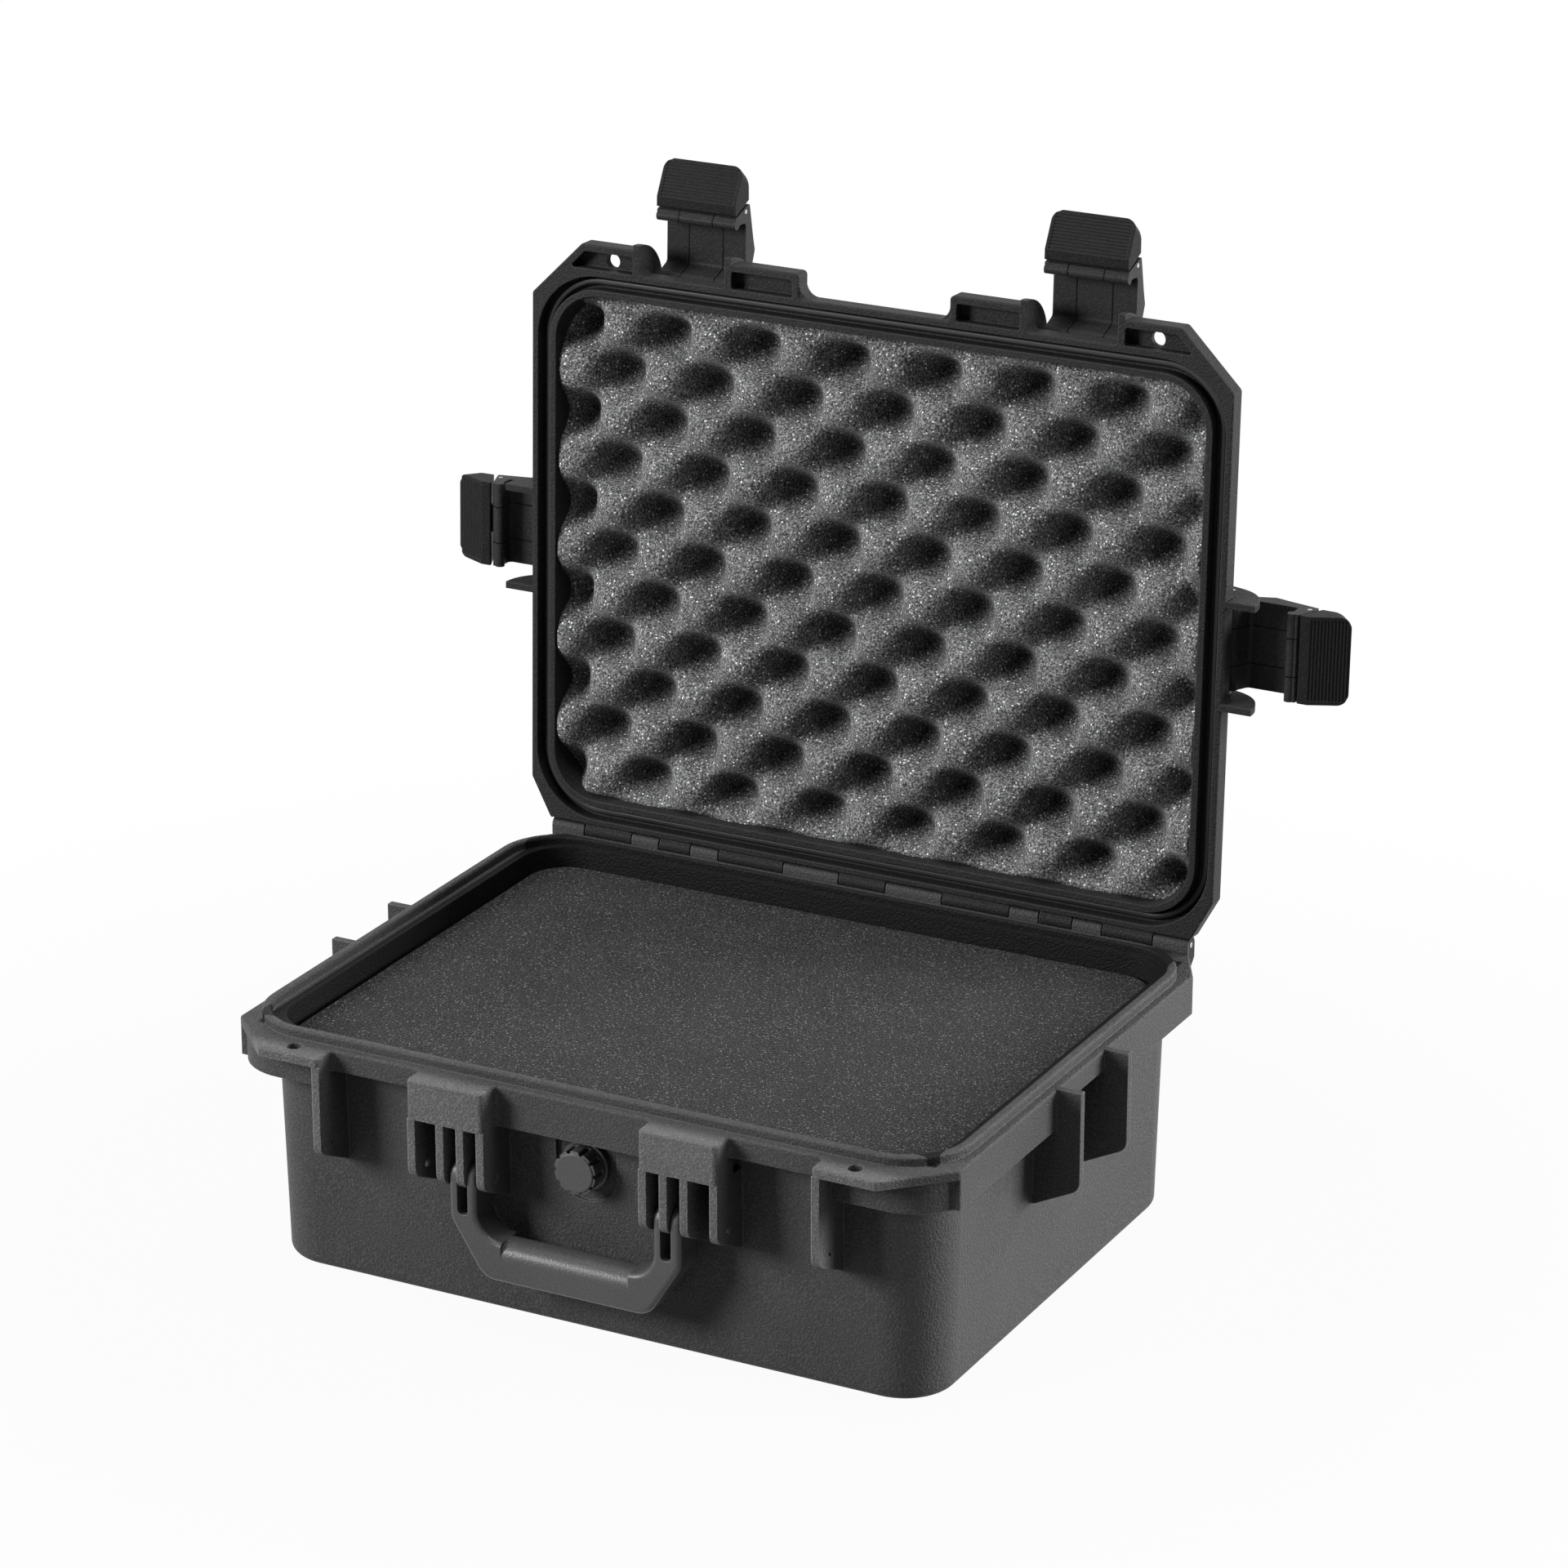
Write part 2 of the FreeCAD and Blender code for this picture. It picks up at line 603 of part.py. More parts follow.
def lid_shell():
    body = new_body("lid_shell")
    pad(body, "XY_Plane", RIM, "lid_skirt", [flange_outline()])
    round_edges(body, "outline_radius", upright)
    round_edges(body, "edge_radius", level_with(f"{RIM} + lid_skirt"))
    round_edges(body, "rim_radius", level_with(RIM))
    foot = inset_flange("lid_wall_inset", "lid_corner")
    top = inset_flange("(lid_wall_inset + lid_flare)", "lid_corner")
    loft(body, "AdditiveLoft", [(f"{RIM} + rim_radius", foot), (LID_TOP, top)])
    round_edges(body, "lid_top_radius", level_with(LID_TOP))

    # Curved ramps at the inner ends of the front blocks
    reach = "(lid_ramp_radius + overrun)"
    ramp = [(f"bracket_inner - {reach}", "overrun - flange_front"),
            (f"bracket_inner - {reach}", "-flange_front"),
            ("bracket_inner", "-flange_front", "lid_ramp_radius"),
            ("bracket_inner", f"-(flange_front + {reach})"),
            ("bracket_inner + overrun", f"-(flange_front + {reach})"),
            ("bracket_inner + overrun", "overrun - flange_front")]
    ramp_height = "lid_skirt - rim_radius - edge_radius"
    pad(body, "XY_Plane", f"{RIM} + rim_radius", ramp_height, [ramp, flipped(ramp)])

    # Ears on both sides of every latch
    front_ear = flipped(ear_outline("flange_front"))
    right_ears = ("bracket_outer - ear_thickness", "lug_inner")
    left_ears = ("-bracket_outer", "-lug_inner - ear_thickness")
    for start in right_ears + left_ears:
        pad(body, "YZ_Plane", start, "ear_thickness", [front_ear])
    side_ear = ear_outline(HALF)
    for start in ("-side_latch_gap / 2 - ear_thickness", "side_latch_gap / 2"):
        pad(body, "XZ_Plane", f"{start} - side_latch_y", "ear_thickness", [side_ear, flipped(side_ear)])

    # Hollow of the lid, seal groove, and pockets in the lugs
    mouth = inset_flange("(lid_wall_inset + lid_wall)", "lid_corner - lid_wall")
    ceiling = inset_flange("(lid_wall_inset + lid_wall + lid_flare)", "lid_corner - lid_wall")
    loft(body, "SubtractiveLoft", [("parting_height", mouth), (f"{LID_TOP} - lid_wall", ceiling)])
    cut(body, "XY_Plane", "parting_height", "rim_gap + groove_depth", rim_ring("groove_width"))
    front = f"-({REACH} - lid_pocket_wall)"
    corner = f"{HALF} - corner_chamfer - lid_pocket_wall / 2"
    lug = [("lug_inner + lid_pocket_wall", front, "lid_pocket_radius"),
           (corner, front, "lid_pocket_radius"),
           (f"{corner} + lug_reach - lid_pocket_wall", "-flange_front", "lid_pocket_radius"),
           ("lug_inner + lid_pocket_wall", "-flange_front", "lid_pocket_radius")]
    block = rectangle("bracket_inner + lid_pocket_wall", "bracket_outer - lid_pocket_wall", front,
                      "-flange_front", "lid_pocket_radius")
    pockets = [lug, flipped(lug), block, flipped(block)]
    cut(body, "XY_Plane", "parting_height", "rim_gap + lid_pocket_depth", pockets)
    padlocks = [(f"{side}padlock_x", "-padlock_y", "padlock_radius") for side in ("-", "")]
    cut(body, "XY_Plane", "parting_height", "lid_skirt + overrun", circles=padlocks)

    # Bores of the latch pins
    pin = "latch_pin_radius + pin_play"
    rise = "parting_height + latch_pivot_rise"
    front_pin = ("-(flange_front - latch_pivot_in)", rise, pin)
    cut(body, "YZ_Plane", f"-{HALF}", "flange_width", circles=[front_pin])
    sides = [(f"{side}({HALF} - latch_pivot_in)", rise, pin) for side in ("-", "")]
    cut(body, "XZ_Plane", "-flange_back", "flange_back + flange_front", circles=sides)

    # Hinge knuckles
    root = "flange_back - hinge_root"
    web = [(root, f"{HINGE_Z} - lid_web"),
           (HINGE_Y, f"{HINGE_Z} - lid_web"),
           (HINGE_Y, f"{HINGE_Z} + knuckle_radius"),
           (root, f"{HINGE_Z} + knuckle_radius")]
    hinge_barrel(body, web)
    gaps = knuckle_gaps(0, f"{HINGE_Y} - knuckle_radius - knuckle_play")
    cut(body, "XY_Plane", "parting_height", "rim_gap + lid_skirt + overrun", gaps)
    hinge_bore(body)
    return body


def cylinder(label, radius, length):
    """Round bar along +Z from its own origin."""
    bar = doc.addObject("Part::Cylinder", label)
    bar.Label = label
    bar.setExpression("Radius", bound(radius))
    bar.setExpression("Height", bound(length))
    return bar


def along_x(x, y, z):
    """Placement that lays a bar along +X from the point."""
    return FreeCAD.Placement(FreeCAD.Vector(value(x), value(y), value(z)),
                             FreeCAD.Rotation(FreeCAD.Vector(0, 0, 1), FreeCAD.Vector(1, 0, 0)))


def hinge_pin():
    pin = cylinder("hinge_pin", "hinge_pin_radius", "hinge_length")
    pin.Placement = along_x("-hinge_length / 2", HINGE_Y, HINGE_Z)
    return pin


def handle_pin(side):
    length = "(3 * fin_thickness + 2 * handle_gap)"
    pin = cylinder(f"handle_pin_{side}", "handle_pin_radius", length)
    start = "bracket_inner" if side == "right" else f"-(bracket_inner + {length})"
    pin.Placement = along_x(start, "-handle_pin_y", "handle_pin_z")
    return pin


def handle():
    body = new_body("handle")
    outer = "(handle_width / 2)"
    top = "handle_pin_z + handle_depth / 2"
    grip_top = "handle_bottom + handle_grip"
    right = [(f"{outer} - handle_slope_width", "handle_bottom", "handle_outer_round"),
             (outer, "handle_bottom + handle_slope_height", "handle_outer_round"),
             (outer, top),
             ("handle_inner", top),
             ("handle_inner", grip_top, "handle_inner_round")]
    rear = "handle_pin_y - handle_depth / 2"
    pad(body, "XZ_Plane", rear, "handle_depth", [mirrored(right)])
    front_y = -value("handle_pin_y + handle_depth / 2")
    rear_y = -value(rear)
    top_z = value(top)
    pin_z = value("handle_pin_z")

    def leg_top(edge):
        box = edge.BoundBox
        return same(box.YLength, 0) and same(box.ZMin, top_z) and same(box.ZLength, 0)

    def rim(edge):
        box = edge.BoundBox
        on_face = same(box.YLength, 0) and (same(box.YMin, front_y) or same(box.YMin, rear_y))
        over_top = same(box.XLength, 0) and box.ZMax > pin_z
        return (on_face and not (same(box.ZLength, 0) and box.ZMin > pin_z)) or over_top

    round_edges(body, "handle_depth / 2 - pin_play", leg_top)
    round_edges(body, "handle_edge_radius", rim)

    # Round top of the grip, front and rear, between the inner corners
    grip_round = "((handle_depth - handle_grip_flat) / 2)"
    edge = f"({grip_round} + pin_play)"
    grips = []
    for face, inward in ((f"-({rear} + handle_depth)", "+"), (f"-({rear})", "-")):
        outward = "-" if inward == "+" else "+"
        grips.append([(f"{face} {outward} overrun", f"{grip_top} + overrun"),
                      (f"{face} {outward} overrun", f"{grip_top} - {edge}"),
                      (face, f"{grip_top} - {edge}"),
                      (face, grip_top, grip_round),
                      (f"{face} {inward} {edge}", grip_top),
                      (f"{face} {inward} {edge}", f"{grip_top} + overrun")])
    straight = "(handle_inner - handle_inner_round)"
    cut(body, "YZ_Plane", f"-{straight}", f"2 * {straight}", grips)

    # Slots in the legs and the bore of the pins
    slot_top = f"{top} + overrun"
    slot = [("handle_slot_inner", "handle_slot_bottom", "handle_slot_round"),
            ("handle_slot_outer", "handle_slot_bottom", "handle_slot_round"),
            ("handle_slot_outer", slot_top),
            ("handle_slot_inner", slot_top)]
    cut(body, "XZ_Plane", f"{rear} - overrun", "handle_depth + 2 * overrun", [slot, flipped(slot)])
    bore = ("-handle_pin_y", "handle_pin_z", "handle_pin_radius + pin_play")
    cut(body, "YZ_Plane", f"-{outer} - overrun", "handle_width + 2 * overrun", circles=[bore])
    return body


VALVE_SEAT = f"({TUB_Y} + 2 * valve_seal_wire)"
KNOB_BACK = f"({VALVE_SEAT} + valve_flange_thickness + knob_gap)"


def valve_body():
    body = new_body("valve_body")
    inner = "valve_nut_y"
    shank = ("0", "valve_z", "valve_shank_radius")
    pad(body, "XZ_Plane", inner, f"{VALVE_SEAT} - ({inner})", circles=[shank])
    flange = ("0", "valve_z", "valve_flange_radius")
    pad(body, "XZ_Plane", VALVE_SEAT, "valve_flange_thickness", circles=[flange])
    pad(body, "XZ_Plane", f"{VALVE_SEAT} + valve_flange_thickness", "valve_spigot_length",
        circles=[("0", "valve_z", "valve_spigot_radius")])
    return body


def valve_seal():
    seal = doc.addObject("Part::Torus", "valve_seal")
    seal.Label = "valve_seal"
    seal.setExpression("Radius1", bound("valve_seal_radius"))
    seal.setExpression("Radius2", bound("valve_seal_wire"))
    spot = FreeCAD.Vector(0, -value(f"{TUB_Y} + valve_seal_wire"), value("valve_z"))
    turn = FreeCAD.Rotation(FreeCAD.Vector(0, 0, 1), FreeCAD.Vector(0, 1, 0))
    seal.Placement = FreeCAD.Placement(spot, turn)
    return seal


def valve_nut():
    body = new_body("valve_nut")
    corners = []
    for index in range(NUT_SIDES):
        angle = 2 * math.pi * index / NUT_SIDES
        corners.append((f"valve_nut_radius * ({math.cos(angle)})",
                        f"valve_z + valve_nut_radius * ({math.sin(angle)})"))
    pad(body, "XZ_Plane", "valve_nut_y", "valve_nut_thickness", [corners],
        [("0", "valve_z", "valve_shank_radius + pin_play")])
    return body


def valve_knob():
    body = new_body("valve_knob")
    pad(body, "XZ_Plane", KNOB_BACK, "knob_length", circles=[("0", "valve_z", "knob_radius")])
    notches = []
    for index in range(KNOB_NOTCHES):
        angle = 2 * math.pi * index / KNOB_NOTCHES
        notches.append((f"knob_radius * ({math.cos(angle)})", f"valve_z + knob_radius * ({math.sin(angle)})",
                        "knob_notch_radius"))
    front = f"{KNOB_BACK} + knob_length"
    cut(body, "XZ_Plane", f"{front} - knob_notch_depth", "knob_notch_depth + overrun", circles=notches)
    pad(body, "XZ_Plane", front, "knob_face_rise", circles=[("0", "valve_z", "knob_face_radius")])
    face_y = -value(f"{front} + knob_face_rise")
    round_edges(body, "knob_face_rise * 3 / 4", lambda edge: same(edge.BoundBox.YMin, face_y)
                and same(edge.BoundBox.YMax, face_y))
    cut(body, "XZ_Plane", f"{KNOB_BACK} - overrun", "overrun + valve_spigot_length",
        circles=[("0", "valve_z", "valve_spigot_radius + pin_play")])
    return body


def foam_block(label, bottom, thickness):
    body = new_body(label)
    pad(body, "XY_Plane", bottom, thickness, [tub_section("(-tub_wall - foam_gap)", "foam_corner")])
    return body


def base_foam():
    """Floor pad and two layers, one above the other up to below the rim."""
    pad_bottom = "(tub_floor + foam_seat_gap)"
    lower_bottom = f"({pad_bottom} + foam_pad_thickness + foam_seat_gap)"
    upper_bottom = "(parting_height - foam_top_drop - foam_upper_thickness)"
    return [
        foam_block("base_foam_pad", pad_bottom, "foam_pad_thickness"),
        foam_block("base_foam_lower", lower_bottom, f"{upper_bottom} - foam_seat_gap - {lower_bottom}"),
        foam_block("base_foam_upper", upper_bottom, "foam_upper_thickness"),
    ]


def lid_seal():
    body = new_body("lid_seal")
    top = f"({RIM} + groove_depth - seal_gap)"
    pad(body, "XY_Plane", f"{top} - seal_height", "seal_height", rim_ring("seal_width"))
    round_edges(body, "seal_radius", lambda edge: same(edge.BoundBox.ZLength, 0))
    return body


def lid_foam():
    """Foam slab with staggered round pits, open towards the rim."""
    body = new_body("lid_foam")
    inset = "lid_wall_inset + lid_wall + foam_gap"
    corner = "lid_corner - lid_wall"
    face = inset_flange(f"({inset})", corner)
    back = inset_flange(f"({inset} + lid_flare)", corner)
    ceiling = f"{LID_TOP} - lid_wall - foam_seat_gap"
    loft(body, "AdditiveLoft", [(f"{RIM} + crate_gap", face), (ceiling, back)])
    across = int(value("flange_width / 2 / crate_pitch_x"))
    along = int(value("(flange_front + flange_back) / 2 / crate_pitch_y"))
    pits = []
    for column in range(-across, across + 1):
        for line in range(-along, along + 1):
            if (column + line) % 2 == 0:
                pits.append((f"crate_pitch_x * {column} - crate_lean * {line} + crate_shift_right",
                             f"crate_pitch_y * {line} - crate_shift_front", "crate_pit_radius"))
    step = cut(body, "XY_Plane", RIM, "crate_gap + crate_pit_depth", circles=pits)
    step.setExpression("TaperAngle", bound("-crate_pit_taper"))
    return body


def at_pivot(out, rise):
    """Point of a latch, out from the flange line and up from the parting plane, seen from its pivot."""
    return (f"-({out}) - latch_pivot_in", f"{rise} - latch_pivot_rise")


def latch_arm(label):
    body = new_body(label)
    start = "-latch_width / 2"
    profile = [
        ("0", "latch_barrel_radius"),
        ("0", "-latch_barrel_radius"),
        (*at_pivot("arm_inner_out", "arm_neck_rise"), "arm_round"),
        (*at_pivot("arm_inner_out", "-hook_notch_drop"), "arm_round"),
        at_pivot("-hook_bar_in", "-hook_notch_drop"),
        (*at_pivot("-hook_in", "-hook_drop"), "arm_edge_round"),
        (*at_pivot("arm_end_out", "-arm_end_drop"), "arm_edge_round"),
        (*at_pivot("arm_waist_out", "-arm_waist_drop"), "arm_round"),
        (*at_pivot("arm_crown_out", "arm_crown_rise"), "arm_round"),
        (*at_pivot("arm_shoulder_out", "arm_shoulder_rise"), "arm_round"),
    ]
    pad(body, "YZ_Plane", start, "latch_width", [profile])
    pad(body, "YZ_Plane", start, "latch_width", circles=[("0", "0", "latch_barrel_radius")])
    bar = at_pivot("-hook_bar_in", "-hook_bar_drop")
    pad(body, "YZ_Plane", start, "latch_width", circles=[(*bar, "hook_bar_radius")])
    inner, top = at_pivot("-release_slot_in", "-release_slot_drop")
    outer, bottom = at_pivot("arm_waist_out + overrun", "-arm_end_drop - overrun")
    slot = rectangle(outer, inner, bottom, top)
    cut(body, "YZ_Plane", "-release_slot_width / 2", "release_slot_width", [slot])
    release = at_pivot("release_out", "-release_drop")
    cut(body, "YZ_Plane", f"{start} - overrun", "latch_width + 2 * overrun",
        circles=[("0", "0", "latch_pin_radius + pin_play"), (*release, "release_pin_radius")])
    return body


def release_pad(label):
    body = new_body(label)
    start = "-latch_width / 2"
    tip = at_pivot("-pad_tip_in", "-pad_tip_drop")
    heel = at_pivot("-pad_lip_in", "-pad_heel_drop")
    profile = [
        (*at_pivot("-pad_lip_in", "-pad_lip_drop"), "pad_round"),
        heel,
        tip,
        at_pivot("pad_nose_out", "-pad_nose_drop"),
        (*at_pivot("pad_shoulder_out", "-pad_shoulder_drop"), "pad_round"),
    ]
    pad(body, "YZ_Plane", start, "latch_width", [list(reversed(profile))])
    end_z = value(at_pivot("0", "-pad_nose_drop")[1])

    def tip_corner(edge):
        return same(edge.BoundBox.XLength, 0) and same(edge.BoundBox.ZMax, end_z)

    round_edges(body, "pad_corner_radius", tip_corner)

    # Ridges across the inner face, for the fingers
    grooves = []
    for index in range(PAD_RIDGES):
        spots = []
        for share in (index / PAD_RIDGES, (index + 1) / PAD_RIDGES):
            spots.append([f"({near}) * {1 - share} + ({far}) * {share}" for near, far in zip(heel, tip)])
        floor = [f"(({one}) + ({two})) / 2" for one, two in zip(*spots)]
        floor[0] = f"{floor[0]} - pad_ridge_depth"
        grooves.append([tuple(spots[0]), tuple(floor), tuple(spots[1])])
    cut(body, "YZ_Plane", f"{start} + pad_ridge_margin", "latch_width - 2 * pad_ridge_margin", grooves)

    # Tongue that reaches into the slot of the arm and turns on the release pin
    tongue = "-release_tongue_width / 2"
    release = at_pivot("release_out", "-release_drop")
    half = "release_tongue_thickness / 2"
    foot = at_pivot("release_out", "-pad_shoulder_drop")[1]
    stem = rectangle(f"{release[0]} - {half}", f"{release[0]} + {half}", foot, release[1])
    pad(body, "YZ_Plane", tongue, "release_tongue_width", [stem])
    pad(body, "YZ_Plane", tongue, "release_tongue_width", circles=[(*release, "release_knuckle_radius")])
    cut(body, "YZ_Plane", f"{tongue} - overrun", "release_tongue_width + 2 * overrun",
        circles=[(*release, "release_pin_radius + pin_play")])
    return body


def release_spring(label):
    body = new_body(label)
    release = at_pivot("release_out", "-release_drop")
    start = "(release_tongue_width / 2 + release_slot_width / 2 - release_spring_length) / 2"
    pad(body, "YZ_Plane", start, "release_spring_length",
        circles=[(*release, "release_spring_radius"), (*release, "release_spring_bore")])
    return body


def lid_swing():
    """Placement that opens the lid about the hinge."""
    centre = FreeCAD.Vector(0, value(HINGE_Y), value(HINGE_Z))
    turn = FreeCAD.Rotation(FreeCAD.Vector(1, 0, 0), -value("lid_open_angle"))
    return FreeCAD.Placement(FreeCAD.Vector(0, 0, 0), turn, centre)


def latch_seat(side):
    """Placement of a latch's pivot on the shut lid; the latch hangs down and faces outward."""
    front = "-(flange_front - latch_pivot_in)"
    middle = "((bracket_outer + lug_inner) / 2)"
    edge = f"({HALF} - latch_pivot_in)"
    x, y, turn = {
        "front_left": (f"-{middle}", front, 0),
        "front_right": (middle, front, 0),
        "side_left": (f"-{edge}", "side_latch_y", -90),
        "side_right": (edge, "side_latch_y", 90),
    }[side]
    spot = FreeCAD.Vector(value(x), value(y), value("parting_height + latch_pivot_rise"))
    return FreeCAD.Placement(spot, FreeCAD.Rotation(FreeCAD.Vector(0, 0, 1), turn))


def latch_swing():
    return FreeCAD.Placement(FreeCAD.Vector(0, 0, 0),
                             FreeCAD.Rotation(FreeCAD.Vector(1, 0, 0), -value("latch_swing")))


def latch(side):
    """Pin in the lid's ears, hook arm, release pin, release spring and release pad of one latch."""
    seat = lid_swing().multiply(latch_seat(side))
    opened = seat.multiply(latch_swing())
    ears = "(side_latch_gap + 2 * ear_thickness)"
    if side.startswith("front"):
        ears = "(lug_inner - bracket_outer + 2 * ear_thickness)"
    pin = cylinder(f"latch_pin_{side}", "latch_pin_radius", ears)
    pin.Placement = seat.multiply(along_x(f"-{ears} / 2", "0", "0"))
    release = cylinder(f"release_pin_{side}", "release_pin_radius", "latch_width")
    release_spot = at_pivot("release_out", "-release_drop")
    release.Placement = opened.multiply(along_x("-latch_width / 2", *release_spot))
    pieces = [latch_arm(f"latch_arm_{side}"),
              release_pad(f"release_pad_{side}"),
              release_spring(f"release_spring_{side}")]
    for piece in pieces:
        piece.Placement = opened
    return [pin, release, *pieces]


LATCH_SIDES = ("front_left", "front_right", "side_left", "side_right")


def build():
    lid_pieces = [lid_shell(), lid_seal(), lid_foam()]
    for piece in lid_pieces:
        piece.Placement = lid_swing()
    pieces = [base_shell(), *base_foam(), hinge_pin(), handle_pin("left"), handle_pin("right"), handle()]
    pieces += [valve_body(), valve_seal(), valve_nut(), valve_knob(), *lid_pieces]
    for side in LATCH_SIDES:
        pieces += latch(side)
    return pieces


def check(pieces):
    """Stops where a step failed, a cut took nothing away or a piece is no sound solid."""
    for item in doc.Objects:
        if "Invalid" in item.State or "Error" in item.State:
            raise RuntimeError(f"{item.Label} did not build: {item.State}")
        if item.TypeId == "PartDesign::Pocket" and not item.Shape.Volume < item.BaseFeature.Shape.Volume:
            raise RuntimeError(f"{item.Label} takes nothing away")
    for piece in pieces:
        if piece.Shape.isNull() or not piece.Shape.isValid() or len(piece.Shape.Solids) != 1:
            raise RuntimeError(f"{piece.Label} is not one sound solid")


def export(pieces):
    os.makedirs("parts", exist_ok=True)
    for piece in pieces:
        piece.Shape.exportStep(f"parts/{piece.Label}.step")


PIECES = build()
doc.recompute()
check(PIECES)
export(PIECES)
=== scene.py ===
import json
import math
import bmesh
import bpy
from mathutils import Matrix, Vector, noise


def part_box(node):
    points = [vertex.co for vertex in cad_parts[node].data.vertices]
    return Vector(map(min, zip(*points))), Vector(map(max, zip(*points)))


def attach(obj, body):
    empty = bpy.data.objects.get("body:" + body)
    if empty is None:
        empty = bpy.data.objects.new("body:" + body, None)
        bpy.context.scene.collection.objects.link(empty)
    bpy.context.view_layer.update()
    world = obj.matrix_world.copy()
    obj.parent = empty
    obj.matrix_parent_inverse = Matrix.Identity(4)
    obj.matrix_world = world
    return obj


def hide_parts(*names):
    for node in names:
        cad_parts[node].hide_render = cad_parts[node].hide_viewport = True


# Protective case of black plastic with charcoal foam, open on a white floor.  Metres, in the CAD frame.
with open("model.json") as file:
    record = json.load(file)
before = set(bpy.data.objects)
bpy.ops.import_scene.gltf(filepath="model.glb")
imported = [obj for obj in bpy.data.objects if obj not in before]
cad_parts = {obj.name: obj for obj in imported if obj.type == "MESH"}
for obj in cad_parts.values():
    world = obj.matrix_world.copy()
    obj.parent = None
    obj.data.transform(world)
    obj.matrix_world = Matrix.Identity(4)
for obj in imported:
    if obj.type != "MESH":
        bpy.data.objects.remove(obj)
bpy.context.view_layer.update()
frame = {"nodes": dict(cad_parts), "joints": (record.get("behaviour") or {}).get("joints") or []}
scene = bpy.context.scene
nodes = frame["nodes"]
joints = {joint["name"]: joint for joint in frame["joints"]}

ORIGIN = (0.0, 0.0, 0.0)
RIGHT = (1.0, 0.0, 0.0)
FRONT = (0.0, -1.0, 0.0)
BACK = (0.0, 1.0, 0.0)
UP = (0.0, 0.0, 1.0)
WHITE = (1.0, 1.0, 1.0, 1.0)


def add_object(name, data):
    item = bpy.data.objects.new(name, data)
    scene.collection.objects.link(item)
    return item


def aim(item, direction):
    """Turns a lamp or a camera to look along a direction."""
    item.rotation_mode = "QUATERNION"
    item.rotation_quaternion = Vector(direction).to_track_quat("-Z", "Y")


# Node helpers

# Numbers of the colour sockets of the mix node, which has more sockets of the same names
MIX_FACTOR, MIX_ONE, MIX_TWO, MIX_RESULT = 0, 6, 7, 2
BEVEL_SAMPLES = 4

# A rounded normal this close to the face's own is off the edge, or on it
EDGE_START, EDGE_FULL = 0.98, 0.8

# Stretches of a noise over which a tone or a roughness changes
TONE_START, TONE_END = 0.3, 0.7
ROUGH_START, ROUGH_END = 0.2, 0.8


class Nodes:
    """Short ways to add and link the nodes of a material or a world."""

    def __init__(self, owner):
        owner.use_nodes = True
        self.tree = owner.node_tree
        self.tree.nodes.clear()

    def add(self, kind, **settings):
        node = self.tree.nodes.new(kind)
        for key, value in settings.items():
            setattr(node, key, value)
        return node

    def link(self, source, target):
        self.tree.links.new(source, target)

    def feed(self, socket, value):
        """Links a socket to another, or gives it a plain value."""
        if hasattr(value, "is_linked"):
            self.link(value, socket)
        else:
            socket.default_value = value

    def maths(self, operation, one, two=0.0):
        node = self.add("ShaderNodeMath", operation=operation)
        self.feed(node.inputs[0], one)
        self.feed(node.inputs[1], two)
        return node.outputs[0]

    def range(self, source, low, high, new_low, new_high):
        node = self.add("ShaderNodeMapRange")
        for key, value in (("From Min", low), ("From Max", high), ("To Min", new_low), ("To Max", new_high)):
            node.inputs[key].default_value = value
        self.link(source, node.inputs["Value"])
        return node.outputs["Result"]


